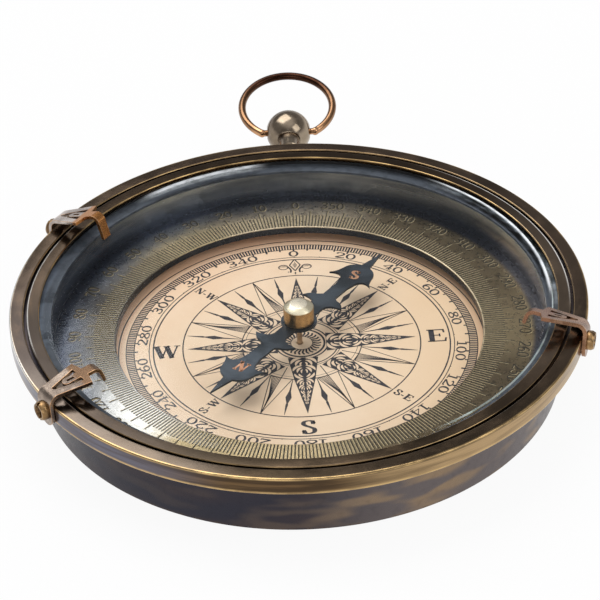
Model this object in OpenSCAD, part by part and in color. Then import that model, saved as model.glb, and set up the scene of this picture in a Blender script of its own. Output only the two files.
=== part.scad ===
// Large round magnetic compass with a bevelled glass, rim clips and a bow ring.
// The base stands on z = 0, the needle's axis is Z, and the bow lies towards +Y.

/* [Case] */
// Outer diameter of the case wall
wall_d = 115.2; // [100:0.1:130]
// Thickness of the case wall
wall_t = 2.0; // [1.2:0.1:3]
// Thickness of the case floor
floor_t = 2.6; // [1:0.1:4]
// Bevel around the foot of the case
foot_bevel = 0.3; // [0.1:0.1:0.9]

/* [Rim] */
// How far the rim stands out beyond the case wall
rim_overhang = 5.4; // [4.8:0.1:9]
// Height of the rim's upright side
rim_side_h = 4.0; // [3.4:0.1:6]
// Width of the rim's flat top
rim_top_w = 3.2; // [2.8:0.1:3.6]
// Thickness of the rim's top lip
rim_lip_t = 1.5; // [0.8:0.1:2]
// Thickness of the rim's side
rim_skirt_t = 2.0; // [1.5:0.1:2.2]
// Width of the groove between the rim and the retaining ring
groove_w = 0.6; // [0.3:0.1:1]
// Broken edge of the turned rings
edge_break = 0.35; // [0.1:0.05:0.5]

/* [Glass] */
// Width of the retaining ring's flat top
retainer_w = 2.8; // [2.2:0.1:3.2]
// Thickness of the glass
glass_t = 2.2; // [1.8:0.1:4]
// Width of the glass edge held under the retaining ring
glass_land = 0.9; // [0.5:0.1:1.2]
// Width of the bevel on the glass
bevel_w = 1.2; // [0.6:0.1:3]
// Depth of the bevel on the glass
bevel_h = 0.9; // [0.4:0.1:1.2]
// How far the glass lies below the top of the rim
glass_drop = 0.2; // [0:0.05:0.6]
// Thickness of the gasket under the glass
gasket_t = 0.5; // [0.3:0.1:1]

/* [Dial] */
// Thickness of the plate under the dial
plate_t = 1.8; // [1:0.1:3]
// Thickness of the printed dial
paper_t = 0.2; // [0.1:0.05:0.4]
// Inner diameter of the degree ring
chapter_d = 81.0; // [70:0.1:90]
// Height of the degree ring above the dial
chapter_t = 4.0; // [3:0.1:5]
// Thickness of the degree ring where it overhangs the dial
chapter_lip_t = 1.9; // [1:0.1:2.5]
// Inner diameter of the foot that the degree ring stands on
chapter_foot_d = 90.0; // [84:0.1:98]
// Height of the wall between the degree ring and the glass
sleeve_h = 6.5; // [6.4:0.1:8]
// Thickness of that wall
sleeve_t = 1.5; // [0.8:0.1:2]

/* [Needle] */
// Length of each arm of the needle
arm_l = 31.3; // [28:0.1:33]
// Thickness of the needle
needle_t = 0.5; // [0.3:0.1:0.8]
// Gap between the knob's top and the glass
knob_gap = 0.3; // [0.15:0.05:0.8]
// Diameter of the needle's hub
hub_d = 8.0; // [7.2:0.1:9]
// Width of the needle's shaft
shaft_w = 3.3; // [2.4:0.1:4]
// Distance of the arrow head's top from the axis
head_y = 25.2; // [23:0.1:27]
// Length of the arrow head
head_l = 6.2; // [4:0.1:7]
// Width of the arrow head
head_w = 11.2; // [8:0.1:13]
// Distance of the cross barbs from the axis
cross_y = 10.4; // [9.6:0.1:11.5]
// Length of the cross barbs
cross_l = 3.6; // [2.6:0.1:4]
// Width across the cross barbs
cross_w = 10.6; // [8:0.1:12]

/* [Knob and pin] */
// Diameter of the knob
knob_d = 6.7; // [5:0.1:7]
// Height of the knob
knob_h = 4.6; // [3.4:0.1:4.6]
// Diameter of the knob's flat top
knob_top_d = 3.9; // [2.4:0.1:4.4]
// Height of the knob's bevel
knob_bevel_h = 0.9; // [0.4:0.1:1.4]
// Diameter of the knob's inner bore
knob_bore_d = 3.0; // [2.4:0.1:3.4]
// Height of the jewel
jewel_t = 0.9; // [0.7:0.1:1.2]
// Depth of the cup in the jewel
cup_h = 0.5; // [0.3:0.05:0.6]
// Diameter of the pivot pin
pin_d = 1.2; // [0.8:0.1:1.6]
// Diameter of the bush that holds the pin
boss_d = 5.0; // [3:0.1:8]

/* [Pendant] */
// Diameter of the stem
stem_d = 4.4; // [3.4:0.1:5]
// Bare length of the stem beyond the rim
stem_l = 7.2; // [3:0.1:10]
// Diameter of the stem's collar
stem_collar_d = 5.5; // [5:0.1:6.4]
// Length of the stem's collar
stem_collar_l = 4.8; // [2:0.1:6]
// Diameter of the ball
ball_d = 11.1; // [9.6:0.1:12]
// Diameter of the threaded studs
stud_d = 3.0; // [2:0.1:3.2]
// Diameter of the small nut on the ball's far side
finial_d = 3.0; // [2.4:0.1:3.4]
// How far that nut stands out
finial_l = 1.2; // [0.8:0.1:2]

/* [Bow ring] */
// Diameter of the ring, at the middle of its wire
bow_d = 22.8; // [21:0.1:26]
// Diameter of the ring's wire
bow_wire_d = 1.9; // [1.4:0.1:2]
// Diameter of the pins at the ring's ends
bow_pin_d = 1.6; // [1:0.1:1.6]
// Angle of the ring above level, at rest
bow_angle = 13; // [0:1:60]

/* [Clips] */
// Thickness of the clips' sheet
clip_t = 0.8; // [0.5:0.1:1]
// Gap between the rim's top and a clip's arm at its bend
clip_lift = 1.7; // [1.7:0.1:2.2]
// Inner radius of a clip's bend
clip_bend_r = 1.6; // [1.2:0.1:1.6]
// Width of a clip's foot
clip_foot_w = 5.2; // [4.8:0.1:6]
// Length of a clip's arm from the bend to the barbs
clip_arm_l = 7.5; // [6.8:0.1:8.5]
// Width of a clip's arm across its barbs
clip_end_w = 8.7; // [8:0.1:9.5]
// Length of the slanted shoulder between the arm and the finger
shoulder_l = 0.7; // [0.4:0.1:1.2]
// Length of the slit in the tongue of a clip's window
tongue_slot_l = 1.6; // [1:0.1:2]
// Width of that slit
tongue_slot_w = 0.6; // [0.4:0.1:0.8]
// Width of a clip's finger
finger_w = 2.6; // [2:0.1:3]
// Straight length of a clip's finger before it bends down
finger_l = 2.2; // [1.4:0.1:2.8]
// Radius of the finger's bend, at the middle of the sheet
finger_bend_r = 1.4; // [1.1:0.1:1.6]
// Depth of a clip's screw below the top of the rim
screw_drop = 1.5; // [1.3:0.1:1.8]
// Depth of the middle of a clip's rounded foot below its screw
foot_drop = 0.9; // [0.5:0.1:1]
// Diameter of a clip screw's head
screw_head_d = 4.2; // [3.4:0.1:4.4]
// Height of a clip screw's head
screw_head_h = 1.5; // [1.2:0.1:2]
// Diameter of a clip screw's shank
screw_d = 2.0; // [1.4:0.1:2]

/* [Hidden] */
$fn = 96;

// Clearances
fit = 0.05;
edge_gap = 0.2;
cut = 1;

// Heights, stacked up from the base
plate_z = floor_t;
paper_z = plate_z + plate_t;
dial_z = paper_z + paper_t;
chapter_z = dial_z + chapter_t;
seat_z = chapter_z + sleeve_h;
glass_z = seat_z + gasket_t;
glass_top_z = glass_z + glass_t;
rim_z = glass_top_z + glass_drop;
rim_under_z = rim_z - rim_side_h;
lip_z = rim_z - rim_lip_t;
collar_under_z = rim_under_z - edge_gap;
land_z = glass_top_z - bevel_h;
retainer_top_z = rim_z - fit;

// Radii, from the wall outwards and inwards
wall_r = wall_d / 2;
bore_r = wall_r - wall_t;
inner_r = bore_r - fit;
sleeve_bore_r = inner_r - sleeve_t;
rim_r = wall_r + rim_overhang;
lip_r = rim_r - rim_top_w;
collar_r = rim_r - rim_skirt_t - fit;
retainer_r = lip_r - groove_w;
retainer_bore_r = retainer_r - retainer_w;
glass_r = retainer_bore_r + glass_land;
bevel_r = retainer_bore_r - fit;
bead_r = glass_r + edge_gap;

// Needle and its pin
needle_z = glass_z - knob_gap - knob_h - needle_t;
knob_z = needle_z + needle_t;
jewel_z = knob_z + knob_h - knob_bevel_h - jewel_t - fit;
cup_r = knob_bore_d / 4;
pin_tip_gap = 0.15;
pin_tip_z = jewel_z + cup_h - pin_tip_gap;
pin_cone_h = 1.6;
pin_hole_r = pin_d / 2 + edge_gap;
pin_seat_z = plate_z + plate_t / 4;
needle_turn = -38.7;
half_head = head_w / 2;
half_shaft = shaft_w / 2;
half_cross = cross_w / 2;
barb_y = head_y - head_l;

// Clips, each as [place round the rim, roll about its screw, tilt of its arm above level]
clip_places = [[213.5, 4, 7], [149.4, 3, 18], [342, -20, 6]];
clip_x = rim_r + fit;
clip_under_z = rim_z + clip_lift;
clip_bend_x = clip_x - clip_bend_r;
clip_bend_z = clip_under_z - clip_bend_r;
screw_z = rim_z - screw_drop;
foot_z = screw_z - foot_drop;
finger_slope = 72;
screw_len = clip_t + rim_skirt_t - edge_gap;
slot_w = screw_head_d / 7;
slot_h = screw_head_h * 0.45;
window_in = -clip_arm_l * 0.88;
window_out = -clip_arm_l * 0.12;
window_w = clip_end_w * 0.56;
window_tip_w = clip_foot_w * 0.22;
tongue_r = clip_end_w * 0.13;
tongue_x = -clip_arm_l * 0.52;
tongue_w = tongue_r * 1.9;
clip_reach = 2 * clip_arm_l;
foot_r = clip_foot_w * 0.53;
bend_steps = 10;

// Pendant and bow
stem_gap = 0.6;
pendant_z = collar_under_z - stem_gap - stem_d / 2;
ball_r = ball_d / 2;
ball_flat = sqrt(ball_r ^ 2 - (stem_collar_d / 2) ^ 2);
collar_y = rim_r + stem_l;
ball_y = collar_y + stem_collar_l + ball_flat;
finial_flat = sqrt(ball_r ^ 2 - (finial_d / 2) ^ 2);
bow_wire_r = bow_wire_d / 2;
bow_side_gap = 0.35;
bow_knuckle_d = bow_wire_d + 2 * fit;
bow_side_flat = ball_r * 0.96;
bow_knuckle_x = bow_side_flat + bow_side_gap + bow_wire_r;
bow_r = bow_d / 2;
bow_reach = sqrt(bow_r ^ 2 - bow_knuckle_x ^ 2);
bow_half = acos(bow_reach / bow_r);
bow_hole_r = bow_pin_d / 2 + fit;
bow_pin_in = ball_r * 0.35;
stud_l = ball_r * 0.36;
finial_y = ball_y + finial_flat;

// Points on a curve that leaves a towards b and arrives at c
function bend(a, b, c, n = 5) =
    [for (i = [0:n]) let(t = i / n) (1 - t) ^ 2 * a + 2 * t * (1 - t) * b + t ^ 2 * c];

// A solid of revolution whose outline is a list of [radius, height]
module turned(outline) rotate_extrude($fn = 180) polygon(outline);

module case_body() color("#5b5348") difference() {
    turned([[0, 0], [wall_r - foot_bevel, 0], [wall_r, foot_bevel], [wall_r, collar_under_z],
        [collar_r, collar_under_z], [collar_r, lip_z], [retainer_r + fit, lip_z],
        [retainer_r + fit, glass_z], [bead_r, glass_z], [bead_r, seat_z], [bore_r, seat_z],
        [bore_r, floor_t], [0, floor_t]]);
    translate([0, bore_r - cut, pendant_z])
        rotate([-90, 0, 0])
            cylinder(d = stud_d + 2 * fit, h = wall_t + 2 * cut);
}

module bezel_ring() color("#6d5638") difference() {
    turned([[collar_r + fit, rim_under_z], [rim_r - edge_break, rim_under_z],
        [rim_r, rim_under_z + edge_break], [rim_r, rim_z - edge_break],
        [rim_r - edge_break, rim_z], [lip_r + edge_break, rim_z], [lip_r, rim_z - edge_break],
        [lip_r, lip_z], [collar_r + fit, lip_z]]);
    for (place = clip_places)
        rotate([0, 0, place[0]])
            translate([collar_r, 0, screw_z])
                rotate([0, 90, 0])
                    cylinder(d = screw_d + 2 * fit, h = rim_skirt_t + cut);
}

module glass_retaining_ring() color("#5f4b34")
    turned([[bead_r, glass_z], [retainer_r, glass_z],
        [retainer_r, retainer_top_z - edge_break], [retainer_r - edge_break, retainer_top_z],
        [retainer_bore_r + edge_break, retainer_top_z],
        [retainer_bore_r, retainer_top_z - edge_break], [retainer_bore_r, land_z],
        [bead_r, land_z]]);

module crystal_glass() color([0.8, 0.9, 0.9, 0.35])
    turned([[0, glass_z], [glass_r, glass_z], [glass_r, land_z], [bevel_r, land_z],
        [bevel_r - bevel_w, glass_top_z], [0, glass_top_z]]);

module glass_gasket() color("#2b2622")
    turned([[sleeve_bore_r + fit, seat_z], [glass_r, seat_z], [glass_r, glass_z],
        [sleeve_bore_r + fit, glass_z]]);

module spacer_sleeve() color("#39424c")
    turned([[sleeve_bore_r, chapter_z], [inner_r, chapter_z], [inner_r, seat_z],
        [sleeve_bore_r, seat_z]]);

module chapter_ring() color("#8a7a55")
    turned([[chapter_foot_d / 2, dial_z], [inner_r, dial_z], [inner_r, chapter_z],
        [chapter_d / 2 + edge_break, chapter_z], [chapter_d / 2, chapter_z - edge_break],
        [chapter_d / 2, chapter_z - chapter_lip_t],
        [chapter_foot_d / 2, chapter_z - chapter_lip_t]]);

module paper_dial() color("#e3bf95")
    turned([[pin_hole_r, paper_z], [inner_r, paper_z], [inner_r, dial_z], [pin_hole_r, dial_z]]);

module dial_plate() color("#8a7040")
    turned([[boss_d / 2, plate_z], [inner_r, plate_z], [inner_r, paper_z], [boss_d / 2, paper_z]]);

module pivot_boss() color("#9a7a3c")
    turned([[0, plate_z], [boss_d / 2, plate_z], [boss_d / 2, paper_z], [pin_d / 2, paper_z],
        [pin_d / 2, pin_seat_z], [0, pin_seat_z]]);

module pivot_pin() color("#a8683c")
    turned([[0, pin_seat_z], [pin_d / 2, pin_seat_z], [pin_d / 2, pin_tip_z - pin_cone_h],
        [0, pin_tip_z]]);

// One side of one arm of the needle, from the tip down to the hub
arm_side = concat(
    [[0, arm_l]],
    bend([half_head * 0.2, head_y], [half_head * 0.66, head_y - head_l * 0.12],
        [half_head * 0.7, head_y - head_l * 0.5]),
    bend([half_head * 0.72, head_y - head_l * 0.56], [half_head * 0.8, head_y - head_l * 0.85],
        [half_head, barb_y]),
    bend([half_head * 0.94, barb_y + head_l * 0.04], [half_head * 0.5, barb_y + head_l * 0.24],
        [half_shaft * 1.25, barb_y - head_l * 0.14]),
    [[half_shaft, barb_y - head_l * 0.5], [half_shaft, cross_y + cross_l * 0.25]],
    bend([half_cross * 0.5, cross_y + cross_l * 0.05], [half_cross * 0.8, cross_y],
        [half_cross, cross_y - cross_l * 0.5], 4),
    bend([half_cross * 0.9, cross_y - cross_l * 0.5], [half_cross * 0.36, cross_y - cross_l * 0.55],
        [half_shaft, cross_y - cross_l], 4));
arm_last = len(arm_side) - 1;

// The needle's whole outline, which runs once round both arms
needle_outline = concat(arm_side,
    [for (i = [arm_last:-1:0]) [arm_side[i][0], -arm_side[i][1]]],
    [for (i = [1:arm_last]) [-arm_side[i][0], -arm_side[i][1]]],
    [for (i = [arm_last:-1:1]) [-arm_side[i][0], arm_side[i][1]]]);

module needle_blade() color("#222a33")
    rotate([0, 0, needle_turn])
        translate([0, 0, needle_z])
            difference() {
                union() {
                    linear_extrude(needle_t) polygon(needle_outline);
                    cylinder(d = hub_d, h = needle_t);
                }
                translate([0, 0, -cut]) cylinder(d = knob_bore_d, h = needle_t + 2 * cut);
            }

module needle_knob() color("#c79a4e")
    turned([[knob_bore_d / 2, knob_z], [knob_d / 2, knob_z],
        [knob_d / 2, knob_z + knob_h - knob_bevel_h], [knob_top_d / 2, knob_z + knob_h],
        [0, knob_z + knob_h], [0, jewel_z + jewel_t], [knob_bore_d / 2, jewel_z + jewel_t]]);

module needle_jewel() color("#7c2338")
    turned([[0, jewel_z + cup_h], [cup_r, jewel_z], [knob_bore_d / 2 - fit, jewel_z],
        [knob_bore_d / 2 - fit, jewel_z + jewel_t], [0, jewel_z + jewel_t]]);

// Places something that is drawn at +X onto the rim at one of the clips' places
module at_clip(place)
    rotate([0, 0, place[0]])
        translate([0, 0, screw_z])
            rotate([place[1], 0, 0])
                translate([0, 0, -screw_z])
                    children();

// A clip is a bent strip seen from the side, cut to its outline seen square to its arm. Both are
// drawn with the arm's bend at the origin of the outline.
arm_outline = [[clip_reach, clip_foot_w / 2], [0, clip_foot_w / 2], [-clip_arm_l, clip_end_w / 2],
    [-clip_arm_l - shoulder_l, finger_w / 2], [-clip_reach, finger_w / 2]];

// Points on an arc about a centre, from one angle to another
function arc(centre, r, from, to) =
    [for (i = [0:bend_steps]) let(a = from + (to - from) * i / bend_steps)
        centre + r * [cos(a), sin(a)]];

// Height of a finger's tip that keeps its lower corner just off the glass, for a roll
function tip_z(roll) = screw_z
    + (glass_top_z + fit - screw_z + finger_w / 2 * abs(sin(roll))) / cos(roll);

// Centre of a finger's bend, for a tilt of the arm
function finger_centre(tilt) = [clip_bend_x, clip_bend_z]
    + (clip_arm_l + finger_l) * [-cos(tilt), sin(tilt)]
    + (clip_bend_r + clip_t / 2 - finger_bend_r) * [sin(tilt), cos(tilt)];

// Middle of a finger's tip, straight on from the end of its bend down to the tip's height
function finger_tip(roll, tilt) =
    let(start = finger_centre(tilt) + finger_bend_r * [-sin(finger_slope), cos(finger_slope)],
        drop = start[1] - tip_z(roll) - clip_t / 2 * cos(finger_slope))
    start - drop * [1 / tan(finger_slope), 1];

// One face of the bent strip, at a distance from the middle of the sheet
function strip_face(roll, tilt, side) = concat(
    [[clip_x + clip_t / 2 + side, foot_z - clip_foot_w]],
    arc([clip_bend_x, clip_bend_z], clip_bend_r + clip_t / 2 + side, 0, 90 - tilt),
    arc(finger_centre(tilt), finger_bend_r + side, 90 - tilt, 90 + finger_slope),
    [finger_tip(roll, tilt) + side * [-sin(finger_slope), cos(finger_slope)]]);

module clip_strip(roll, tilt) {
    outer = strip_face(roll, tilt, clip_t / 2);
    inner = strip_face(roll, tilt, -clip_t / 2);
    rotate([90, 0, 0])
        linear_extrude(clip_reach, center = true)
            polygon(concat(outer, [for (i = [len(inner) - 1:-1:0]) inner[i]]));
}

module arm_window() difference() {
    union() {
        polygon([[window_out, window_tip_w / 2], [window_out, -window_tip_w / 2],
            [window_in, -window_w / 2], [window_in, window_w / 2]]);
        translate([window_out, 0]) circle(d = window_tip_w, $fn = 32);
    }
    translate([tongue_x, 0]) circle(r = tongue_r, $fn = 32);
    translate([window_in - tongue_r, -tongue_w / 2])
        square([tongue_x - window_in + tongue_r, tongue_w]);
}

module clip(roll, tilt) color("#9a6540") difference() {
    intersection() {
        clip_strip(roll, tilt);
        translate([clip_bend_x, 0, clip_bend_z])
            rotate([0, tilt, 0])
                linear_extrude(2 * clip_reach, center = true)
                    polygon(concat(arm_outline, [for (i = [len(arm_outline) - 1:-1:0])
                        [arm_outline[i][0], -arm_outline[i][1]]]));
    }
    translate([clip_bend_x, 0, clip_bend_z])
        rotate([0, tilt, 0])
            translate([0, 0, clip_bend_r - cut]) {
                linear_extrude(clip_t + 2 * cut) arm_window();
                translate([tongue_x - tongue_slot_l, -tongue_slot_w / 2, 0])
                    cube([tongue_slot_l, tongue_slot_w, clip_t + 2 * cut]);
            }
    translate([clip_x - cut, 0, foot_z])
        rotate([90, 0, 90])
            linear_extrude(clip_t + 2 * cut)
                difference() {
                    translate([-clip_foot_w, -2 * clip_foot_w])
                        square(2 * clip_foot_w);
                    circle(r = foot_r);
                }
    translate([clip_x - cut, 0, screw_z])
        rotate([0, 90, 0])
            cylinder(d = screw_d + 2 * fit, h = clip_t + 2 * cut);
}

module clip_screw() color("#8a5c36")
    translate([clip_x + clip_t, 0, screw_z])
        rotate([0, 90, 0])
            difference() {
                turned([[0, -screw_len], [screw_d / 2, -screw_len], [screw_d / 2, 0],
                    [screw_head_d / 2, 0], [screw_head_d / 2, screw_head_h * 0.6],
                    [screw_head_d * 0.43, screw_head_h], [screw_head_d * 0.33, screw_head_h],
                    [screw_head_d * 0.28, screw_head_h * 0.7], [0, screw_head_h * 0.7]]);
                translate([-screw_head_d, -slot_w / 2, screw_head_h - slot_h])
                    cube([2 * screw_head_d, slot_w, screw_head_h]);
            }

module clip_left_front() at_clip(clip_places[0]) clip(clip_places[0][1], clip_places[0][2]);
module clip_left_back() at_clip(clip_places[1]) clip(clip_places[1][1], clip_places[1][2]);
module clip_right() at_clip(clip_places[2]) clip(clip_places[2][1], clip_places[2][2]);
module clip_screw_left_front() at_clip(clip_places[0]) clip_screw();
module clip_screw_left_back() at_clip(clip_places[1]) clip_screw();
module clip_screw_right() at_clip(clip_places[2]) clip_screw();

// Turns an outline about the pendant's axis, which runs outwards along +Y
module turned_along_y(outline)
    translate([0, 0, pendant_z])
        rotate([-90, 0, 0])
            turned(outline);

module pendant_stem() color("#6a5a3e")
    turned_along_y([[0, bore_r + fit], [stud_d / 2, bore_r + fit], [stud_d / 2, wall_r],
        [stem_d / 2, wall_r], [stem_d / 2, collar_y], [stem_collar_d / 2 - edge_break, collar_y],
        [stem_collar_d / 2, collar_y + edge_break], [stem_collar_d / 2, ball_y - ball_flat],
        [stud_d / 2 - fit, ball_y - ball_flat], [stud_d / 2 - fit, ball_y - stud_l - fit],
        [0, ball_y - stud_l - fit]]);

module pendant_ball() color("#4e4430")
    translate([0, ball_y, pendant_z])
        difference() {
            rotate([-90, 0, 0])
                rotate_extrude($fn = 96)
                    intersection() {
                        circle(d = ball_d, $fn = 96);
                        translate([0, -ball_flat]) square([ball_d, ball_flat + finial_flat]);
                    }
            for (side = [-1, 1])
                translate([side * (bow_side_flat + ball_r), 0, 0]) cube(ball_d, center = true);
            rotate([90, 0, 0]) translate([0, 0, stud_l]) cylinder(d = stud_d, h = ball_d);
            rotate([-90, 0, 0]) translate([0, 0, stud_l]) cylinder(d = finial_d / 2, h = ball_d);
            rotate([0, 90, 0]) cylinder(r = bow_hole_r, h = 2 * ball_d, center = true);
        }

module pendant_finial() color("#6a5a3e")
    turned_along_y([[0, ball_y + stud_l + fit], [finial_d / 4 - fit, ball_y + stud_l + fit],
        [finial_d / 4 - fit, finial_y], [finial_d / 2, finial_y],
        [finial_d / 2, finial_y + finial_l * 0.4], [finial_d * 0.4, finial_y + finial_l * 0.8],
        [finial_d * 0.2, finial_y + finial_l], [0, finial_y + finial_l]]);

module bow_ring() color("#6b4a38")
    translate([0, ball_y, pendant_z])
        rotate([bow_angle, 0, 0]) {
            translate([0, bow_reach, 0])
                rotate([0, 0, bow_half - 90])
                    rotate_extrude(angle = 360 - 2 * bow_half, $fn = 120)
                        translate([bow_r, 0])
                            circle(d = bow_wire_d, $fn = 40);
            for (side = [-1, 1]) {
                translate([side * bow_knuckle_x, 0, 0]) sphere(d = bow_knuckle_d, $fn = 40);
                translate([side * (bow_pin_in + bow_knuckle_x) / 2, 0, 0])
                    rotate([0, 90, 0])
                        cylinder(d = bow_pin_d, h = bow_knuckle_x - bow_pin_in, center = true);
            }
        }

case_body();
bezel_ring();
glass_retaining_ring();
crystal_glass();
glass_gasket();
spacer_sleeve();
chapter_ring();
paper_dial();
dial_plate();
pivot_boss();
pivot_pin();
needle_blade();
needle_knob();
needle_jewel();
clip_left_front();
clip_left_back();
clip_right();
clip_screw_left_front();
clip_screw_left_back();
clip_screw_right();
pendant_stem();
pendant_ball();
pendant_finial();
bow_ring();
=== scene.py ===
import bmesh
import bpy
from math import cos, exp, hypot, pi, radians, sin
from mathutils import Matrix, Vector


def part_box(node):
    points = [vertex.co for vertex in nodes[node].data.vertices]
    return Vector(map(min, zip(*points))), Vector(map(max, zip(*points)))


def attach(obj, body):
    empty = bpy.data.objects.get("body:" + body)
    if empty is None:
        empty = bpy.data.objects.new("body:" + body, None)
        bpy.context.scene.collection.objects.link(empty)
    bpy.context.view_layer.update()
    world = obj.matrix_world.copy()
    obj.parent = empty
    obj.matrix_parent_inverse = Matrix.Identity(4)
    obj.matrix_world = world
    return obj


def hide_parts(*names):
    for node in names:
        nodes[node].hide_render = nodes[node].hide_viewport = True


MM = 0.001

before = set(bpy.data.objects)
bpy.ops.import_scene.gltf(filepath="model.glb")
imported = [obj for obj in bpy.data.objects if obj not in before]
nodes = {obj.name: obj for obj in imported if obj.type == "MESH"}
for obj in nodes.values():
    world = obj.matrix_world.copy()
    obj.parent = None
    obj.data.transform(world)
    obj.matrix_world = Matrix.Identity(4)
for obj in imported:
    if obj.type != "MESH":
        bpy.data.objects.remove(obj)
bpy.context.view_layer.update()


def outer(node):
    """Outer radius, underside and top of a turned CAD node, in mm."""
    low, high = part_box(node)
    return (high.x - low.x) / 2 / MM, low.z / MM, high.z / MM


rim_r, rim_under, rim_top = outer("bezel_ring")
collar_r, _, collar_top = outer("case_body")
retainer_r, retainer_under, retainer_top = outer("glass_retaining_ring")
glass_r, glass_under, glass_top = outer("crystal_glass")
liner_r, liner_under, liner_top = outer("spacer_sleeve")
ring_r, dial_z, ring_top = outer("chapter_ring")
plate_under = outer("dial_plate")[1]
knob_r, knob_under, knob_top = outer("needle_knob")

# Sizes of the solids that their boxes don't show, in mm, and what follows from them.
FIT = 0.05
WALL_R = 57.6
WALL_T = 2.0
FOOT_BEVEL = 0.3
EDGE_GAP = 0.2
SEAT_R = 57.5
LIP_R = 59.8
RETAINER_BORE = 56.4
BEVEL_W = 1.2
BEVEL_H = 0.9
LINER_BORE = 54.05
RING_BORE = 40.5
RING_FOOT = 45.0
RING_LIP_T = 1.9
KNOB_BORE_R = 1.5
KNOB_TOP_R = 1.95
KNOB_BEVEL_H = 0.9

wall_bore = WALL_R - WALL_T
collar_under = rim_under - EDGE_GAP
land_z = glass_top - BEVEL_H
bevel_r = RETAINER_BORE - FIT
bevel_top_r = bevel_r - BEVEL_W
lip_under = ring_top - RING_LIP_T
knob_bevel = knob_top - KNOB_BEVEL_H

# How the marks lie: the height of each layer of print, the azimuths of the needle at rest and of
# the dial's north, how far the dial's print is off centre, and the radii that it shares.
INK_LIFT = 0.02
NEEDLE_AZIMUTH = 90 - 38.7
NORTH = 90 + 1.1
DIAL_SHIFT = (0.41, -0.19)
STROKES_OUT = 38.95
STROKES_IN = 37.15
ROSE_R = 26.2
HATCHED_BASE = 13.3

# Vertices closer than this are joined, and edges sharper than this are broken.
WELD = 0.002 * MM
SHARP = radians(28)


# Camera

def aim_camera():
    """The photograph's own viewpoint, found from the round rims of the compass. The angles are in
    radians, and aside and lower shift the picture's middle."""
    distance = 7.62342 * rim_r * MM
    above, roll, turned_by = 0.613657, -0.038943, radians(-0.56)
    aside, lower = 0.000822, 0.003117
    away = Vector((0, -cos(above), sin(above)))
    ahead, right = -away, Vector((1, 0, 0))
    up = right.cross(ahead)
    ahead = (ahead + aside * right - lower * up).normalized()
    right = ahead.cross(up).normalized()
    up = right.cross(ahead)
    across = cos(roll) * right + sin(roll) * up
    upward = -sin(roll) * right + cos(roll) * up
    bpy.ops.object.camera_add()
    camera = bpy.context.object
    camera.name = "camera"
    turn = Matrix((across, upward, -ahead)).transposed().to_4x4()
    place = Matrix.Translation(away * distance + Vector((0, 0, rim_top * MM)))
    camera.matrix_world = Matrix.Rotation(turned_by, 4, "Z") @ place @ turn
    camera.data.sensor_width = 36
    camera.data.lens = 132
    camera.data.clip_start = 0.01
    bpy.context.scene.camera = camera


# Finishes

class Value:
    """A node's output. Sums and products of it are nodes too, which its maker adds."""

    def __init__(self, maker, socket):
        self.maker, self.socket = maker, socket

    def maths(self, operation, *terms):
        return self.maker.add("ShaderNodeMath", {"operation": operation}, dict(enumerate(terms)))

    def __add__(self, other):
        return self.maths("ADD", self, other)

    def __sub__(self, other):
        return self.maths("SUBTRACT", self, other)

    def __rsub__(self, other):
        return self.maths("SUBTRACT", other, self)

    def __mul__(self, other):
        return self.maths("MULTIPLY", self, other)

    def __truediv__(self, other):
        return self.maths("DIVIDE", self, other)

    def __pow__(self, other):
        return self.maths("POWER", self, other)

    __radd__ = __add__
    __rmul__ = __mul__

    def least(self, other):
        return self.maths("MINIMUM", self, other)

    def most(self, other):
        return self.maths("MAXIMUM", self, other)


class Nodes:
    """The nodes of a material or of the world."""

    def __init__(self, owner):
        self.owner = owner
        owner.use_nodes = True
        self.tree = owner.node_tree
        self.tree.nodes.clear()

    def add(self, kind, settings=None, values=None, output=0):
        """One node, with its settings, then the values or links of its sockets. Gives back the
        output asked for."""
        node = self.tree.nodes.new(kind)
        for name, setting in (settings or {}).items():
            if name == "stops":
                elements = node.color_ramp.elements
                elements.remove(elements[-1])
                for i, (at, colour) in enumerate(setting):
                    stop = elements.new(at) if i else elements[0]
                    stop.position, stop.color = at, (*colour, 1)
            else:
                setattr(node, name, setting)
        for name, value in (values or {}).items():
            socket = node.inputs[name]
            if isinstance(value, Value):
                self.tree.links.new(value.socket, socket)
            elif socket.type == "RGBA":
                socket.default_value = (*value, 1)
            else:
                socket.default_value = value
        return Value(self, node.outputs[output]) if node.outputs else None

    def rays(self, *kinds):
        """1 for rays of these kinds and 0 for others."""
        seen = 0.0
        for kind in kinds:
            seen = self.add("ShaderNodeLightPath", output=f"Is {kind} Ray").most(seen)
        return seen

    def mixed(self, factor, a, b):
        return self.add("ShaderNodeMixShader", None, {0: factor, 1: a, 2: b})


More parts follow.
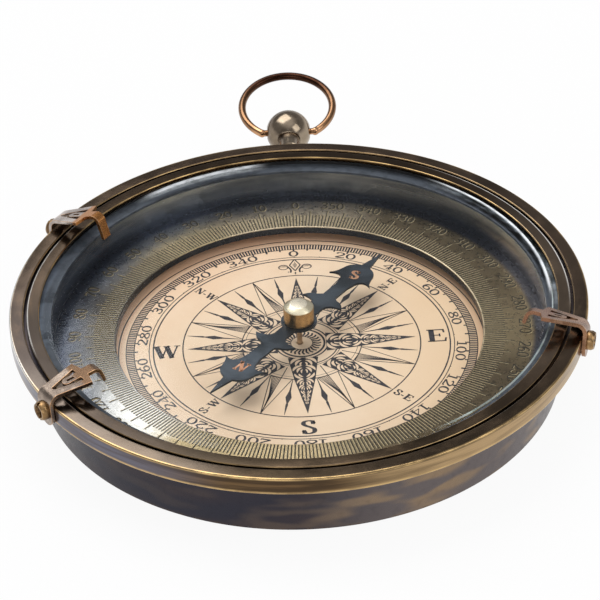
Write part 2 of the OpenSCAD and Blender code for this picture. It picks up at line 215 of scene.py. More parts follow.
class Finish(Nodes):
    """A material that is built up from nodes. It knows each place as x, y, z and the radius about
    the compass's axis, in mm."""

    def __init__(self, name):
        super().__init__(bpy.data.materials.new(name))
        place = self.add("ShaderNodeTexCoord", output="Object")
        self.mm = self.add("ShaderNodeVectorMath", {"operation": "SCALE"},
                           {0: place, "Scale": 1 / MM})
        self.x, self.y, self.z = (self.add("ShaderNodeSeparateXYZ", None, {0: self.mm}, axis)
                                  for axis in "XYZ")
        self.radius = (self.x * self.x + self.y * self.y) ** 0.5

    def noise(self, scale, detail=3.0, rough=0.55, at=None, warp=0.0):
        values = {"Vector": at or self.mm, "Scale": scale, "Detail": detail,
                  "Roughness": rough, "Distortion": warp}
        return self.add("ShaderNodeTexNoise", {"normalize": True}, values)

    def step(self, value, low, high, into=(0.0, 1.0)):
        """Rises smoothly from the first of two numbers to the second, between low and high."""
        values = {"Value": value, "From Min": low, "From Max": high,
                  "To Min": into[0], "To Max": into[1]}
        return self.add("ShaderNodeMapRange", {"interpolation_type": "SMOOTHSTEP"}, values)

    def blend(self, factor, a, b):
        return self.add("ShaderNodeMix", {"data_type": "RGBA"}, {0: factor, 6: a, 7: b}, 2)

    def polar(self, around, across):
        """Place for a pattern that runs round the axis: angle, radius and height, each at its
        scale."""
        turn = self.add("ShaderNodeMath", {"operation": "ARCTAN2"}, {0: self.y, 1: self.x})
        return self.add("ShaderNodeCombineXYZ", None,
                        {0: turn * around, 1: self.radius * across, 2: self.z * across})

    def toward(self, azimuth, low, high):
        """How far a place lies towards an azimuth, from 0 to 1 between two cosines."""
        a = radians(azimuth)
        return self.step((self.x * cos(a) + self.y * sin(a)) / self.radius, low, high)

    def shaded(self, colour, shades, share=1.0):
        """Painted light and shade laid over the colour: (azimuth, two cosines, amount, colour)."""
        for azimuth, low, high, amount, shade in shades:
            colour = self.blend(self.toward(azimuth, low, high) * share * amount, colour, shade)
        return colour

    def near(self, r, z, width):
        """1 on a circle about the axis, and 0 past a width from it."""
        aside, above = self.radius - r, self.z - z
        return 1 - self.step((aside * aside + above * above) ** 0.5, width * 0.4, width)

    def bump(self, height, depth, strength=0.5):
        return self.add("ShaderNodeBump", None,
                        {"Height": height, "Distance": depth * MM, "Strength": strength})

    def turning_marks(self):
        """The fine grooves that a lathe leaves, with a little grain."""
        grooves = self.noise(1.0, 2, 0.5, at=self.polar(3, 9))
        return self.bump(grooves * 0.7 + self.noise(2.6, 3, 0.6) * 0.3, 0.015, 0.3)

    def glossy(self, colour, rough, metal=0.0, **more):
        values = {"Base Color": colour, "Roughness": rough, "Metallic": metal, **more}
        return self.add("ShaderNodeBsdfPrincipled", None, values)

    def shown(self, shader):
        self.add("ShaderNodeOutputMaterial", None, {"Surface": shader})
        return self.owner

    def surface(self, colour, rough, metal=0.0, **more):
        return self.shown(self.glossy(colour, rough, metal, **more))


def aged_brass(name, dark, mid, bright, rough=(0.24, 0.36), cloud=0.06, shine=0.25):
    """Brass with a soft cloudy patina and small places that are rubbed bright."""
    f = Finish(name)
    clouds = f.step(f.noise(cloud, 2, 0.5, warp=0.3), 0.32, 0.68)
    mottle = f.noise(cloud * 7, 3, 0.55)
    colour = f.blend(clouds, dark, mid)
    colour = f.blend(f.step(mottle, 0.5, 0.8) * shine, colour, bright)
    return f.surface(colour, f.step(mottle, 0.3, 0.7, rough), 1.0, Normal=f.turning_marks())


def wall_brass():
    """The case's outer wall: blue-grey patina with soft bronze clouds that run along it, and a
    painted sheen that makes it paler at the front right.
    """
    f = Finish("case_patina")
    clouds = f.noise(1.0, 1, 0.4, at=f.polar(5, 0.36))
    hue = f.noise(1.0, 2, 0.5, at=f.polar(2, 0.12))
    fine = f.noise(0.6, 4, 0.6)
    colour = f.blend(f.step(hue, 0.35, 0.65), (0.037, 0.036, 0.047), (0.05, 0.041, 0.046))
    # Painted sheen: paler at the front right. The bronze clouds gather there and at the front, so
    # they are partly painted sheen too.
    bronze = f.toward(312, 0.7, 0.96)
    colour = f.blend(bronze * 0.75, colour, (0.165, 0.14, 0.135))
    front = f.toward(278, 0.88, 0.99)
    amount = f.step(clouds, 0.47, 0.7) * (bronze * 0.7 + front * 0.12 + 0.07).least(1.0)
    colour = f.blend(amount, colour, (0.28, 0.195, 0.12))
    colour = f.blend(f.step(fine, 0.5, 0.75) * 0.15, colour, (0.015, 0.015, 0.018))
    foot = 1 - f.step(f.z, 0.2, 1.0)
    colour = f.blend(foot * f.step(fine, 0.4, 0.65) * 0.5, colour, (0.13, 0.082, 0.042))
    normal = f.bump(f.noise(2.6, 3, 0.6), 0.012, 0.2)
    return f.surface(colour, f.step(fine, 0.3, 0.7, (0.26, 0.34)), 1.0, Normal=normal)


def turned_brass(name, lines, shades, glints, painted_side_sheen=()):
    """Dark brown turned brass, with painted light and shade laid over it by azimuth. Lines are
    rubbed golden circles, given as (radius, height, width). Glints are painted highlights, pale
    stretches of
    a circle: (azimuth, two cosines, radius, height, width, share that isn't metal). A ring with
    side colours has a browner outer side, with painted sheen and reflection on it by azimuth."""
    f = Finish(name)
    clouds = f.step(f.noise(0.06, 2, 0.5, warp=0.3), 0.32, 0.68)
    along = f.noise(1.0, 3, 0.6, at=f.polar(9, 0.3))
    colour = f.blend(clouds, (0.09, 0.064, 0.044), (0.16, 0.112, 0.075))
    colour = f.blend(f.step(along, 0.5, 0.75) * 0.3, colour, (0.3, 0.2, 0.12))
    # Painted light and shade by azimuth.
    colour = f.shaded(colour, shades)
    if painted_side_sheen:
        side = 1 - f.step(f.z, rim_top - 0.7, rim_top - 0.4)
        across = f.noise(1.0, 3, 0.6, at=f.polar(3, 0.9))
        brown = f.blend(f.step(across, 0.4, 0.65), (0.07, 0.045, 0.026), (0.15, 0.092, 0.045))
        # Painted sheen and reflection on the outer side, by azimuth.
        brown = f.shaded(brown, painted_side_sheen, f.step(across, 0.3, 0.6, (0.5, 1.0)))
        colour = f.blend(side, colour, brown)
    rubbed = f.step(along, 0.36, 0.6, (0.3, 0.95))
    for r, z, width in lines:
        colour = f.blend(f.near(r, z, width) * rubbed, colour, (0.62, 0.42, 0.19))
    metal = 1.0
    # Painted highlights, partly not metal so that the lamps light them.
    for azimuth, low, high, r, z, width, pale in glints:
        glint = f.near(r, z, width) * f.toward(azimuth, low, high)
        colour = f.blend(glint, colour, (0.9, 0.88, 0.84))
        metal = metal - glint * pale
    return f.surface(colour, f.step(along, 0.3, 0.7, (0.15, 0.24)), metal,
                     Normal=f.turning_marks())


def ring_brass():
    """Olive brass of the engraved ring, with a little dark patina in places, a darker inner face,
    and painted light and shade.
    """
    f = Finish("engraved_brass")
    clouds = f.step(f.noise(0.045, 3, 0.55, warp=0.4), 0.35, 0.68)
    spots = f.noise(0.9, 5, 0.7)
    colour = f.blend(clouds, (0.28, 0.225, 0.125), (0.41, 0.325, 0.185))
    # Painted light and shade by azimuth: shade to the south-east, north-east and west, a golden
    # highlight to the south, a pale reflection of the window to the south-west and a lighter
    # north.
    colour = f.shaded(colour, [
        (315, 0.75, 0.95, 0.85, (0.085, 0.063, 0.037)),
        (45, 0.5, 0.95, 0.7, (0.1, 0.073, 0.044)),
        (262, 0.95, 0.995, 0.5, (0.62, 0.47, 0.26)),
        (211, 0.91, 0.99, 0.95, (0.64, 0.64, 0.6)),
        (90, 0.88, 0.98, 0.6, (0.6, 0.5, 0.36)),
        (172, 0.7, 0.95, 0.85, (0.06, 0.064, 0.068))])
    # Painted shade on the outer part, towards the west-north-west.
    colour = f.shaded(colour, [(150, 0.1, 0.7, 0.8, (0.085, 0.1, 0.13))],
                      f.step(f.radius, 44, 51))
    colour = f.blend(f.step(spots, 0.54, 0.74) * 0.2, colour, (0.12, 0.105, 0.07))
    # A painted shadow along the ring's outer edge.
    colour = f.blend(f.step(f.radius, 50.9, 52.3) * 0.9, colour, (0.05, 0.06, 0.085))
    inner = 1 - f.step(f.radius, RING_BORE + 0.1, RING_BORE + 0.4)
    inner = inner * (1 - f.step(f.z, ring_top - 0.3, ring_top - 0.1))
    colour = f.blend(inner, colour, (0.035, 0.042, 0.055))
    # A painted highlight along the top of the inner face, to the east-north-east.
    lit = 1 - f.step(f.radius, RING_BORE + 0.25, RING_BORE + 0.5)
    lit = lit * (1 - inner) * f.toward(20, 0.6, 0.97)
    colour = f.blend(lit * 0.8, colour, (0.66, 0.56, 0.38))
    turning = f.noise(1.0, 3, 0.6, at=f.polar(2, 7))
    normal = f.bump(turning * 0.7 + spots * 0.3, 0.02, 0.35)
    return f.surface(colour, f.step(spots, 0.3, 0.7, (0.24, 0.36)), 1.0, Normal=normal)


def liner_brass():
    """Slate-blue wall under the glass, with soft level streaks that catch the light, painted sheen
    on them to the east, painted shade low down and a painted highlight near its top to the
    north-east.
    """
    f = Finish("blackened_wall")
    streaks = f.noise(1.0, 3, 0.5, at=f.polar(2.4, 0.4))
    colour = f.blend(f.step(streaks, 0.35, 0.7), (0.17, 0.2, 0.25), (0.4, 0.44, 0.49))
    # Painted sheen on the streaks to the east.
    colour = f.shaded(colour, [(0, 0.75, 0.98, 1.0, (0.8, 0.68, 0.54))],
                      f.step(streaks, 0.2, 0.45))
    # Painted shade low down, where the wall meets the ring.
    low = 1 - f.step(f.z, liner_top - 5.5, liner_top - 3)
    colour = f.blend(low * 0.7, colour, (0.04, 0.05, 0.072))
    # A painted highlight near the top, to the north-east.
    high = f.step(f.z, liner_top - 2.5, liner_top - 0.2)
    colour = f.shaded(colour, [(22, 0.8, 0.95, 1.0, (0.72, 0.78, 0.82))], high)
    dust = f.noise(2.4, 3, 0.6)
    colour = f.blend(f.step(dust, 0.72, 0.8) * 0.5, colour, (0.5, 0.5, 0.48))
    return f.surface(colour, f.step(streaks, 0.3, 0.7, (0.2, 0.28)), 0.9,
                     Normal=f.bump(streaks, 0.04, 0.2))


def glass_seal():
    """The dark seal under the glass, with painted highlights at its rim to the north-north-west
    and the north-east, and a painted sheen to the west.
    """
    f = Finish("gasket_black")
    uneven = f.step(f.noise(0.5, 3, 0.6), 0.3, 0.6)
    colour = f.blend(uneven, (0.03, 0.038, 0.05), (0.06, 0.074, 0.094))
    strip = f.step(f.radius, RETAINER_BORE - 1.2, RETAINER_BORE + 0.2)
    strip = strip * f.step(uneven, 0.0, 1.0, (0.65, 1.0))
    # Painted highlights and sheen on the outer strip, by azimuth.
    colour = f.shaded(colour, [(113, 0.95, 0.985, 1.0, (0.72, 0.77, 0.8)),
                               (24, 0.84, 0.95, 1.0, (0.8, 0.86, 0.9)),
                               (176, 0.93, 0.99, 1.0, (0.2, 0.24, 0.3))], strip)
    return f.surface(colour, 0.75, Normal=f.bump(uneven, 0.01, 0.2))


def dial_paper():
    """Printed card, warm, with painted shade that makes it browner under the ring's lip and
    towards the back left.
    """
    f = Finish("aged_card")
    clouds = f.step(f.noise(0.05, 4, 0.6), 0.3, 0.7)
    fibres = f.noise(2.2, 4, 0.7)
    colour = f.blend(clouds, (0.80, 0.60, 0.405), (0.86, 0.68, 0.485))
    colour = f.blend(f.step(fibres, 0.55, 0.8) * 0.15, colour, (0.66, 0.47, 0.3))
    colour = f.blend(f.step(f.x, 5, 35) * 0.75, colour, (0.78, 0.56, 0.34))
    # Painted shade: browner towards the back left and under the ring's lip.
    shade = f.step(f.y * 0.7 - f.x * 0.5, 10, 42) * 0.25 + f.step(f.radius, 38, 41) * 0.3
    colour = f.blend(shade, colour, (0.95, 0.5, 0.27))
    return f.surface(colour, 0.82, 0.0, Normal=f.bump(fibres, 0.02, 0.25))


def printing_ink(name, colour, pale, metal=0.0):
    """Ink, or what fills an engraved mark, that lies a little uneven."""
    f = Finish(name)
    uneven = f.step(f.noise(1.3, 4, 0.7), 0.42, 0.75)
    return f.surface(f.blend(uneven, colour, pale), 0.6, metal,
                     Normal=f.bump(f.noise(4, 3), 0.01, 0.2))


def blued_steel():
    """The blade's dark blue steel, with a cloudy sheen and scuffs."""
    f = Finish("blued_steel")
    sheen = f.step(f.noise(0.12, 3, 0.5, warp=0.4), 0.35, 0.65)
    colour = f.blend(sheen, (0.018, 0.024, 0.03), (0.055, 0.07, 0.086))
    scuffs = f.noise(3, 4, 0.7)
    return f.surface(colour, f.step(scuffs, 0.3, 0.7, (0.28, 0.42)), 0.7,
                     Normal=f.bump(scuffs, 0.01, 0.3))


def bright_brass():
    """The knob's brass: golden with tarnish, and paler on its bevel and flat top."""
    f = Finish("knob_brass")
    turning = f.noise(1.0, 3, 0.6, at=f.polar(1.2, 12))
    tarnish = f.step(f.noise(0.5, 4, 0.6), 0.45, 0.75)
    crown = f.step(f.z, knob_bevel - 0.2, knob_bevel + 0.2)
    colour = f.blend(tarnish * 0.5, (0.62, 0.42, 0.2), (0.32, 0.19, 0.09))
    colour = f.blend(crown, colour, (0.86, 0.78, 0.56))
    flat = crown * (1 - f.step(f.radius, KNOB_TOP_R - 0.05, KNOB_TOP_R + 0.15))
    colour = f.blend(flat * f.step(tarnish, 0.0, 1.0, (0.7, 1.0)), colour, (0.66, 0.6, 0.5))
    return f.surface(colour, f.step(turning, 0.3, 0.7, (0.26, 0.4)), 1.0,
                     Normal=f.bump(turning, 0.015, 0.4))


def copper(name, dark, mid, bright, rough=(0.24, 0.42), finger=None):
    """Coppery metal with tarnish and rubbed places. A clip's finger, over the glass, can have its
    own colour."""
    f = Finish(name)
    clouds = f.step(f.noise(0.16, 3, 0.55, warp=0.5), 0.35, 0.65)
    rubbed = f.step(f.noise(0.4, 3, 0.6), 0.5, 0.72)
    colour = f.blend(clouds, dark, mid)
    colour = f.blend(rubbed * 0.4, colour, bright)
    if finger:
        over_glass = 1 - f.step(f.radius, RETAINER_BORE - 0.8, RETAINER_BORE + 0.2)
        colour = f.blend(over_glass, colour, finger)
    grain = f.noise(4, 4, 0.6)
    return f.surface(colour, f.step(grain, 0.3, 0.7, rough), 1.0,
                     Normal=f.bump(grain, 0.008, 0.2))


def glass_mirror(f):
    """How much clear glass mirrors from outside, by its angle, and which rays come from there."""
    outside = 1 - f.add("ShaderNodeNewGeometry", output="Backfacing")
    return f.add("ShaderNodeFresnel", None, {"IOR": 1.5}), outside


def clear_glass():
    """Window glass: it shows what is under it, mirrors the room by its angle, less so to the west
    as painted shade, and holds painted arcs of light inside its bevel at the back and to the
    north-east."""
    f = Finish("window_glass")
    mirror, outside = glass_mirror(f)
    dust = f.step(f.noise(1.9, 5, 0.8), 0.69, 0.76)
    along = f.step(f.noise(1.0, 3, 0.6, at=f.polar(16, 0.5)), 0.3, 0.6, (0.6, 1.0))
    wide = f.step(f.radius, 53.2, 54.0) * (1 - f.step(f.radius, 54.6, 55.1))
    fine = f.step(f.radius, 54.2, 54.9)
    # Painted arcs of light in the bevel, to the north-north-west and the north-east.
    arc = (wide * f.toward(113, 0.95, 0.985) * 0.6 + fine * f.toward(24, 0.84, 0.96)) * along
    # Painted shade: the glass mirrors less to the west.
    mirrored = mirror * (0.5 - f.toward(178, 0.8, 0.97) * 0.3)
    shown = (mirrored + dust * 0.35 + arc).least(1.0) * outside
    return f.surface((0.93, 0.97, 1.0), 0.08, 1 - (arc * 2 + dust).least(1.0), Alpha=shown)


def bevel_glass():
    """The ground bevel at the glass's edge, thicker and greener to the eye, with a painted pale
    line of light at its inner edge to the east-south-east.
    """
    f = Finish("glass_bevel")
    mirror, outside = glass_mirror(f)
    cloudy = f.step(f.noise(0.3, 4, 0.6), 0.3, 0.7)
    colour = f.blend(cloudy, (0.6, 0.78, 0.74), (0.85, 0.92, 0.92))
    # A painted pale line of light at the bevel's inner edge.
    line = 1 - f.step(f.radius, bevel_top_r + 0.2, bevel_top_r + 0.4)
    line = line * f.toward(338, 0.75, 0.97)
    shown = (mirror * 0.08 + line * 0.65 + cloudy * 0.01) * outside
    return f.surface(colour, 0.1, 0.5, Alpha=shown.least(1.0))


def plain_finish(name, colour, other, rough, metal):
    """Two shades in soft clouds, for the small parts under the knob and the dial."""
    f = Finish(name)
    clouds = f.step(f.noise(1.0, 4, 0.6), 0.35, 0.65)
    return f.surface(f.blend(clouds, colour, other), rough, metal,
                     Normal=f.bump(f.noise(5.0, 3), 0.02, 0.3))


# Making pieces

def deselect():
    """Leaves edit mode and nothing selected."""
    if bpy.context.object and bpy.context.object.mode != "OBJECT":
        bpy.ops.object.mode_set(mode="OBJECT")
    bpy.ops.object.select_all(action="DESELECT")


def only(piece):
    """Selects this piece alone."""
    deselect()
    piece.select_set(True)
    bpy.context.view_layer.objects.active = piece


def settle(piece):
    """Leaves the piece at the origin with its place in its mesh."""
    only(piece)
    bpy.ops.object.transform_apply(location=True, rotation=True, scale=True)
    return piece


def turned(name, outline, steps=256):
    """A piece turned about Z from a list of (radius, height) in mm. A closed outline ends where it
    began, and one that starts or ends on the axis is closed there."""
    deselect()
    rings = [p for p in outline if p[0] > 0]
    bpy.ops.mesh.primitive_circle_add(vertices=steps, radius=rings[0][0] * MM, enter_editmode=True,
                                      location=(0, 0, rings[0][1] * MM))
    piece = bpy.context.object
    piece.name = name

    def walk(ra, za, rb, zb):
        """Extrudes the selected ring from one radius and height to the next."""
        bpy.ops.mesh.extrude_region_move(
            TRANSFORM_OT_translate={"value": (0, 0, (zb - za) * MM)})
        bpy.ops.transform.resize(value=(rb / ra, rb / ra, 1), center_override=(0, 0, zb * MM))

    for (ra, za), (rb, zb) in zip(rings, rings[1:]):
        walk(ra, za, rb, zb)

    def close(ring, height):
        """Draws the selected ring together on the axis."""
        walk(*ring, ring[0] / 2, height)
        bpy.ops.mesh.merge(type="CENTER")

    if outline[-1][0] == 0:
        close(rings[-1], outline[-1][1])
    if outline[0][0] == 0:
        bpy.ops.mesh.select_all(action="DESELECT")
        shape = bmesh.from_edit_mesh(piece.data)
        shape.verts.ensure_lookup_table()
        for v in shape.verts[:steps]:
            v.select_set(True)
        shape.select_flush(True)
        bmesh.update_edit_mesh(piece.data)
        close(rings[0], outline[0][1])
    bpy.ops.mesh.select_all(action="SELECT")
    bpy.ops.mesh.remove_doubles(threshold=WELD)
    bpy.ops.mesh.normals_make_consistent(inside=False)
    bpy.ops.object.mode_set(mode="OBJECT")
    return settle(piece)


def dressed(piece, *finishes):
    piece.data.materials.clear()
    for finish in finishes:
        piece.data.materials.append(finish)


def finished(piece, body, slot, *finishes, replaces=(), edge=0.0, segments=3, smooth=30):
    """Breaks the piece's edges, gives it its finish and lets it move with its body. A second
    finish goes on the broken edges. The edge is in mm and smooth in degrees."""
    only(piece)
    dressed(piece, *finishes)
    if edge:
        rounding = piece.modifiers.new("rounding", "BEVEL")
        rounding.width = edge * MM
        rounding.segments = segments
        rounding.limit_method = "ANGLE"
        rounding.angle_limit = SHARP
        rounding.material = len(finishes) - 1
        bpy.ops.object.modifier_apply(modifier=rounding.name)
    bpy.ops.object.shade_smooth_by_angle(angle=radians(smooth))
    if edge:
        bpy.ops.object.modifier_add(type="WEIGHTED_NORMAL")
        piece.modifiers[-1].keep_sharp = True
        bpy.ops.object.modifier_apply(modifier=piece.modifiers[-1].name)
    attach(piece, body)
    if replaces:
        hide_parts(*replaces)
    return piece


def from_solid(name, node, flat=1.0):
    """A workable copy of a CAD node: its loose triangles joined and its flat faces made whole."""
    only(nodes[node])
    bpy.ops.object.duplicate()
    piece = bpy.context.object
    piece.name = name
    for key in list(piece.keys()):
        if key.startswith("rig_"):
            del piece[key]
    piece.parent = None
    bpy.ops.object.mode_set(mode="EDIT")
    bpy.ops.mesh.select_all(action="SELECT")
    bpy.ops.mesh.customdata_custom_splitnormals_clear()
    bpy.ops.mesh.remove_doubles(threshold=WELD)
    bpy.ops.mesh.dissolve_limited(angle_limit=radians(flat))
    bpy.ops.object.mode_set(mode="OBJECT")
    return piece


def flat_shapes(name, outlines, height):
    """Flat printed shapes from lists of (x, y) in mm, all at one height and facing up."""
    mesh = bpy.data.meshes.new(name)
    shape = bmesh.new()
    for outline in outlines:
        face = shape.faces.new([shape.verts.new((x * MM, y * MM, height * MM))
                                for x, y in outline])
        face.normal_update()
        if face.normal.z < 0:
            face.normal_flip()
    bmesh.ops.triangulate(shape, faces=shape.faces[:])
    shape.to_mesh(mesh)
    shape.free()
    piece = bpy.data.objects.new(name, mesh)
    bpy.context.scene.collection.objects.link(piece)
    return piece


def turn_points(points, azimuth, radius=0.0, spin=0.0):
    """Puts shapes drawn upright onto a circle: their tops point outwards at that azimuth, unless
    they are spun about their own middle first."""
    a, s = radians(azimuth - 90), radians(spin)
    moved = [(x * cos(s) - y * sin(s), x * sin(s) + y * cos(s) + radius) for x, y in points]
    return [(x * cos(a) - y * sin(a), x * sin(a) + y * cos(a)) for x, y in moved]


def circle_line(r, width, steps=180):
    """A thin printed circle, as quads."""
    a, b = r - width / 2, r + width / 2
    corners = [(cos(2 * pi * i / steps), sin(2 * pi * i / steps)) for i in range(steps)]
    return [[(a * c, a * s), (b * c, b * s), (b * e, b * t), (a * e, a * t)]
            for (c, s), (e, t) in zip(corners, corners[1:] + corners[:1])]


def dot(x, y, r):
    """A small printed dot, with six sides."""
    return [(x + r * cos(pi * i / 3), y + r * sin(pi * i / 3)) for i in range(6)]


def bar(x0, y0, x1, y1, width):
    """A straight printed line."""
    length = hypot(x1 - x0, y1 - y0)
    nx, ny = -(y1 - y0) / length * width / 2, (x1 - x0) / length * width / 2
    return [(x0 + nx, y0 + ny), (x1 + nx, y1 + ny), (x1 - nx, y1 - ny), (x0 - nx, y0 - ny)]


# Figures

def smooth_path(points, closed=False, steps=6):
    """A smooth line through the points."""
    n = len(points)
    spans = n if closed else n - 1
    line = []
    for i in range(spans):
        if closed:
            p = [points[(i + k) % n] for k in (-1, 0, 1, 2)]
        else:
            p = [points[max(0, min(n - 1, i + k))] for k in (-1, 0, 1, 2)]
        for j in range(steps):
            t = j / steps
            line.append(tuple(0.5 * (2 * p[1][k] + (p[2][k] - p[0][k]) * t
                        + (2 * p[0][k] - 5 * p[1][k] + 4 * p[2][k] - p[3][k]) * t * t
                        + (3 * p[1][k] - p[0][k] - 3 * p[2][k] + p[3][k]) * t ** 3)
                        for k in (0, 1)))
    return line + [line[0] if closed else points[-1]]


def pen_stroke(line, thick, thin):
    """A line drawn with a broad pen: its upright parts are thick and its level parts thin."""
    sides = []
    for i, (x, y) in enumerate(line):
        ax, ay = line[max(0, i - 1)]
        bx, by = line[min(len(line) - 1, i + 1)]
        if line[0] == line[-1] and i in (0, len(line) - 1):
            ax, ay, bx, by = *line[-2], *line[1]
        length = hypot(bx - ax, by - ay) or 1
        ux, uy = (bx - ax) / length, (by - ay) / length
        w = (thin + (thick - thin) * abs(uy) ** 1.5) / 2
        sides.append(((x - uy * w, y + ux * w), (x + uy * w, y - ux * w)))
    return [[a, b, d, c] for (a, b), (c, d) in zip(sides, sides[1:])]


# Each figure is as wide as its first number says and one high. A list of points is a smooth
# stroke, closed where it ends as it began. The others are straight: two ends and a thickness, for
# a pen as thick and thin as these.
PEN_THICK, PEN_THIN = 0.17, 0.07
OVAL = [(0.34 + 0.24 * cos(pi * i / 6), 0.5 + 0.47 * sin(pi * i / 6)) for i in range(12)]
SIX = [(0.52, 0.9), (0.36, 0.97), (0.17, 0.76), (0.1, 0.42), (0.16, 0.12), (0.34, 0.02),
       (0.52, 0.14), (0.56, 0.34), (0.46, 0.52), (0.32, 0.56), (0.14, 0.42)]
FIGURES = {
    "0": (0.72, OVAL + OVAL[:1]),
    "1": (0.56, (0.3, 0, 0.3, 1, 0.15), (0.08, 0.03, 0.52, 0.03, 0.06),
         (0.1, 0.84, 0.3, 0.97, 0.08)),
    "2": (0.68, [(0.1, 0.74), (0.16, 0.92), (0.34, 0.98), (0.52, 0.88), (0.54, 0.68), (0.4, 0.44),
         (0.2, 0.2), (0.08, 0.06)], (0.08, 0.055, 0.62, 0.055, 0.11),
         (0.6, 0.02, 0.62, 0.24, 0.06)),
    "3": (0.66, [(0.1, 0.82), (0.22, 0.96), (0.42, 0.95), (0.52, 0.78), (0.44, 0.6), (0.26, 0.53),
         (0.46, 0.48), (0.56, 0.28), (0.44, 0.06), (0.22, 0.02), (0.08, 0.16)]),
    "4": (0.7, (0.48, 0, 0.48, 1, 0.15), (0.48, 0.98, 0.06, 0.3, 0.06),
         (0.04, 0.3, 0.66, 0.3, 0.06), (0.32, 0.03, 0.64, 0.03, 0.06)),
    "5": (0.66, (0.18, 0.94, 0.56, 0.94, 0.11), (0.2, 0.97, 0.15, 0.5, 0.06), [(0.15, 0.53),
         (0.34, 0.6), (0.52, 0.48), (0.56, 0.28), (0.44, 0.06), (0.22, 0.02), (0.08, 0.14)]),
    "6": (0.68, SIX),
    "7": (0.64, (0.08, 0.94, 0.6, 0.94, 0.11), (0.09, 0.98, 0.08, 0.76, 0.06), [(0.58, 0.92),
         (0.42, 0.6), (0.3, 0.3), (0.27, 0)]),
    "8": (0.68, [(0.34, 0.54), (0.16, 0.68), (0.17, 0.88), (0.34, 0.97), (0.5, 0.88), (0.51, 0.7),
         (0.34, 0.54), (0.12, 0.34), (0.13, 0.12), (0.34, 0.03), (0.55, 0.12), (0.56, 0.34),
         (0.34, 0.54)]),
    "9": (0.68, [(0.68 - x, 1 - y) for x, y in SIX]),
    "-": (0.42, (0.06, 0.36, 0.36, 0.36, 0.09)),
    "N": (0.94, (0.2, 0, 0.2, 1, 0.07), (0.18, 1, 0.74, 0, 0.17), (0.76, 0, 0.76, 1, 0.07),
         (0.04, 0.97, 0.3, 0.97, 0.06), (0.06, 0.03, 0.34, 0.03, 0.06),
         (0.6, 0.97, 0.92, 0.97, 0.06)),
    "E": (0.84, (0.24, 0, 0.24, 1, 0.2), (0.06, 0.965, 0.76, 0.965, 0.07),
         (0.06, 0.035, 0.8, 0.035, 0.07), (0.3, 0.52, 0.56, 0.52, 0.06),
         (0.72, 1, 0.74, 0.72, 0.08), (0.75, 0, 0.8, 0.3, 0.08), (0.56, 0.4, 0.56, 0.64, 0.07)),
    "S": (0.72, [(0.56, 0.74), (0.5, 0.92), (0.34, 0.97), (0.17, 0.9), (0.13, 0.74), (0.24, 0.6),
         (0.42, 0.48), (0.57, 0.34), (0.56, 0.14), (0.4, 0.03), (0.22, 0.05), (0.11, 0.26)],
         (0.58, 0.7, 0.58, 0.98, 0.07), (0.09, 0.02, 0.09, 0.3, 0.07)),
    "W": (1.24, (0.16, 1, 0.42, 0, 0.18), (0.4, 0, 0.62, 0.9, 0.07), (0.6, 1, 0.84, 0, 0.18),
         (0.84, 0, 1.08, 1, 0.07), (0.02, 0.97, 0.34, 0.97, 0.06), (0.46, 0.97, 0.76, 0.97, 0.06),
         (0.94, 0.97, 1.2, 0.97, 0.06)),
}


def written(text, height, widen, thick, thin):
    """Shapes of a word or number, upright and centred on the origin. Thick and thin are the pen's,
    as shares of the height."""
    at, shapes = -sum(FIGURES[c][0] for c in text) * widen / 2, []
    for c in text:
        width, *strokes = FIGURES[c]
        for stroke in strokes:
            if isinstance(stroke, list):
                closed = stroke[0] == stroke[-1]
                points = [(at + x * widen, y - 0.5) for x, y in stroke]
                path = smooth_path(points[:-1] if closed else points, closed)
                shapes += pen_stroke(path, thick, thin)
            else:
                x0, y0, x1, y1, bold = stroke
                bold *= thick / PEN_THICK if bold > 0.1 else thin / PEN_THIN
                shapes.append(bar(at + x0 * widen, y0 - 0.5, at + x1 * widen, y1 - 0.5, bold))
        at += width * widen
    return [[(x * height, y * height) for x, y in shape] for shape in shapes]


# Case, rim and glass

def make_case():
    """The dish, with the collar that the rim goes over and the bore for the glass and its ring."""
    bore = retainer_r + FIT
    shell = turned("case_shell", [
        (0, 0), (WALL_R - FOOT_BEVEL, 0), (WALL_R, FOOT_BEVEL), (WALL_R, collar_under),
        (collar_r, collar_under), (collar_r, collar_top), (bore, collar_top),
        (bore, glass_under), (SEAT_R, glass_under), (SEAT_R, liner_top), (wall_bore, liner_top),
        (wall_bore, plate_under), (0, plate_under)])
    finished(shell, "case", "case_brass", wall_brass(), replaces=["case_body"])


def make_rim():
    """The outer ring, dark with rubbed edges, violet-brown on its outer side, with painted light
    and shade.
    """
    inside = collar_r + FIT
    rim = turned("rim_ring", [
        (inside, rim_under), (rim_r, rim_under), (rim_r, rim_top), (LIP_R, rim_top),
        (LIP_R, collar_top), (inside, collar_top), (inside, rim_under)])
    # Patina with painted light and shade on it.
    patina = turned_brass(
        "rim_patina",
        lines=[(rim_r, rim_top, 0.6), (rim_r, rim_under, 0.9), (LIP_R, rim_top, 0.25)],
        # Painted sheen and reflection on the outer side: golden at the front right, blue-grey at
        # the front left.
        painted_side_sheen=[(310, 0.8, 0.97, 1.0, (0.44, 0.3, 0.155)),
               (215, 0.75, 0.97, 1.0, (0.15, 0.145, 0.18))],
        # A painted silver glint on the outer edge to the west.
        glints=[(184, 0.88, 0.985, rim_r, rim_top, 0.55, 0.0)],
        # Painted shade on the top at the back, west, front left and front, and a painted pale
        # sheen at the front left.
        shades=[(90, 0.4, 0.95, 0.3, (0.04, 0.02, 0.005)),
                (200, 0.75, 0.97, 0.3, (0.07, 0.07, 0.085)),
                (250, 0.85, 0.98, 0.35, (0.06, 0.036, 0.016)),
                (290, 0.6, 0.95, 0.45, (0.03, 0.022, 0.01)),
                (228, 0.85, 0.97, 0.3, (0.26, 0.22, 0.18))])
    finished(rim, "case", "rim_brass", patina, replaces=["bezel_ring"], edge=0.35)


